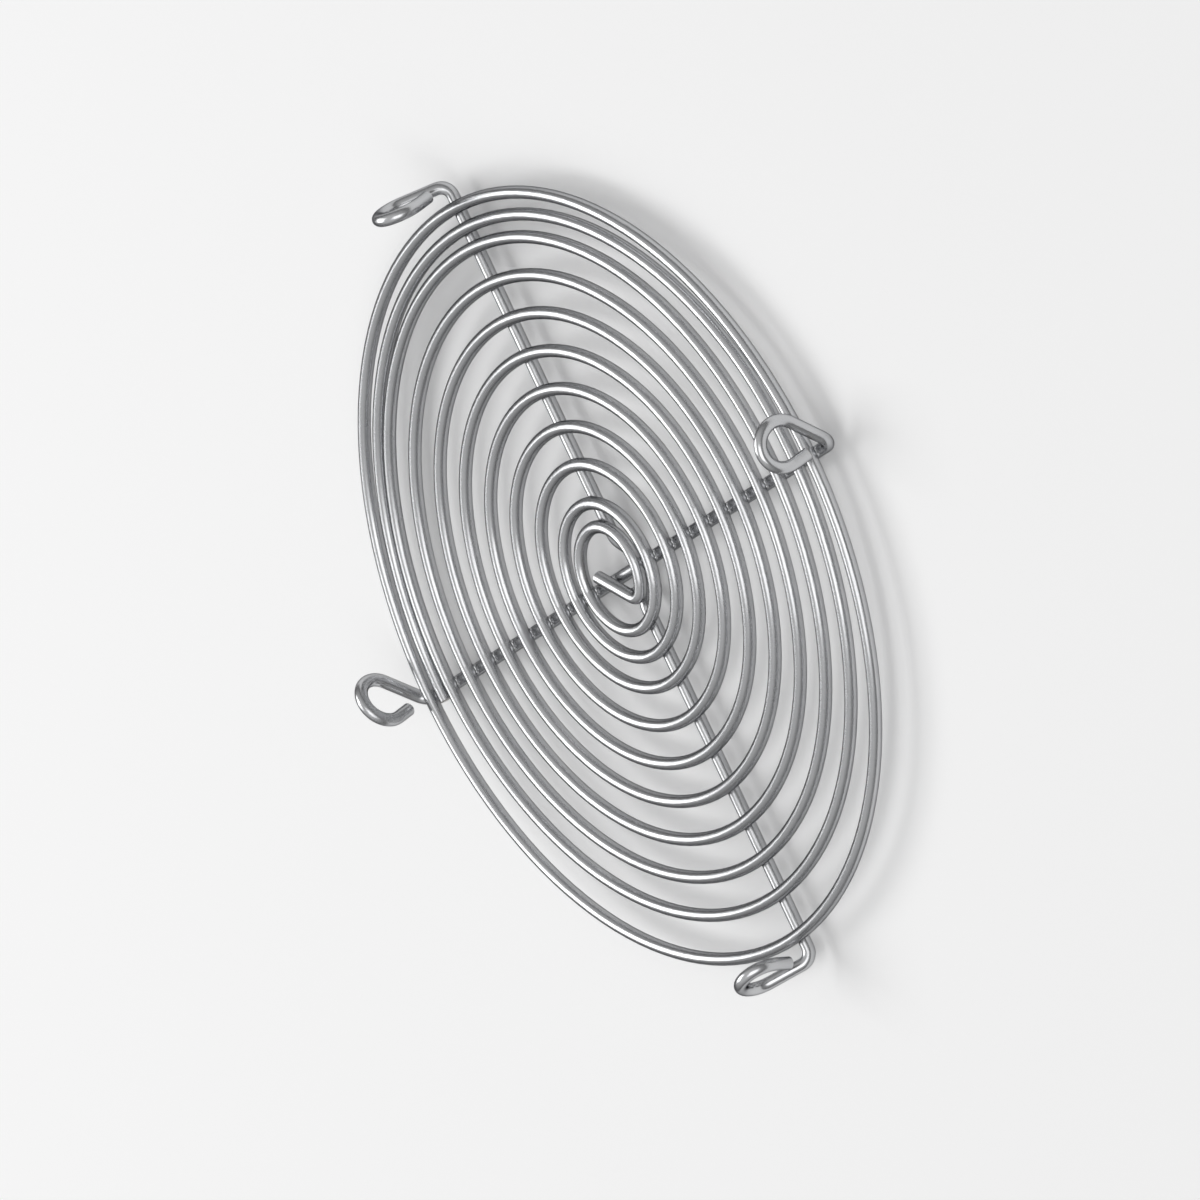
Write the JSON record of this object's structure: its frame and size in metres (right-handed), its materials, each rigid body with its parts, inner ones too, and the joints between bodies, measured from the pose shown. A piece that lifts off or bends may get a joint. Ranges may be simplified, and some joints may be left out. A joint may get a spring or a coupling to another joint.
{
  "type": "wire fan guard",
  "caption": "Round wire guard for a fan: a spiral of round wire inside a wire ring, welded on crossed wires that end in formed screw eyes.",
  "frame": {"origin": "on the guard's axis, level with the underside of the cranked cross wire, which the guard lies on", "axes": "+Z along the guard's axis, from the cross wires to the spiral and the eyes; +X along the straight cross wire; +Y along the cranked cross wire"},
  "size_m": [0.198, 0.198, 0.0233],
  "materials": {
    "spiral_wire": "bright plated drawn wire",
    "outer_ring": "bright plated drawn wire",
    "cross_wires": "bright plated drawn wire"
  },
  "bodies": {
    "root": {"spiral_wire": "spiral_wire", "outer_ring": "outer_ring", "straight_cross_wire": "cross_wires", "cranked_cross_wire": "cross_wires"}
  },
  "joints": []
}
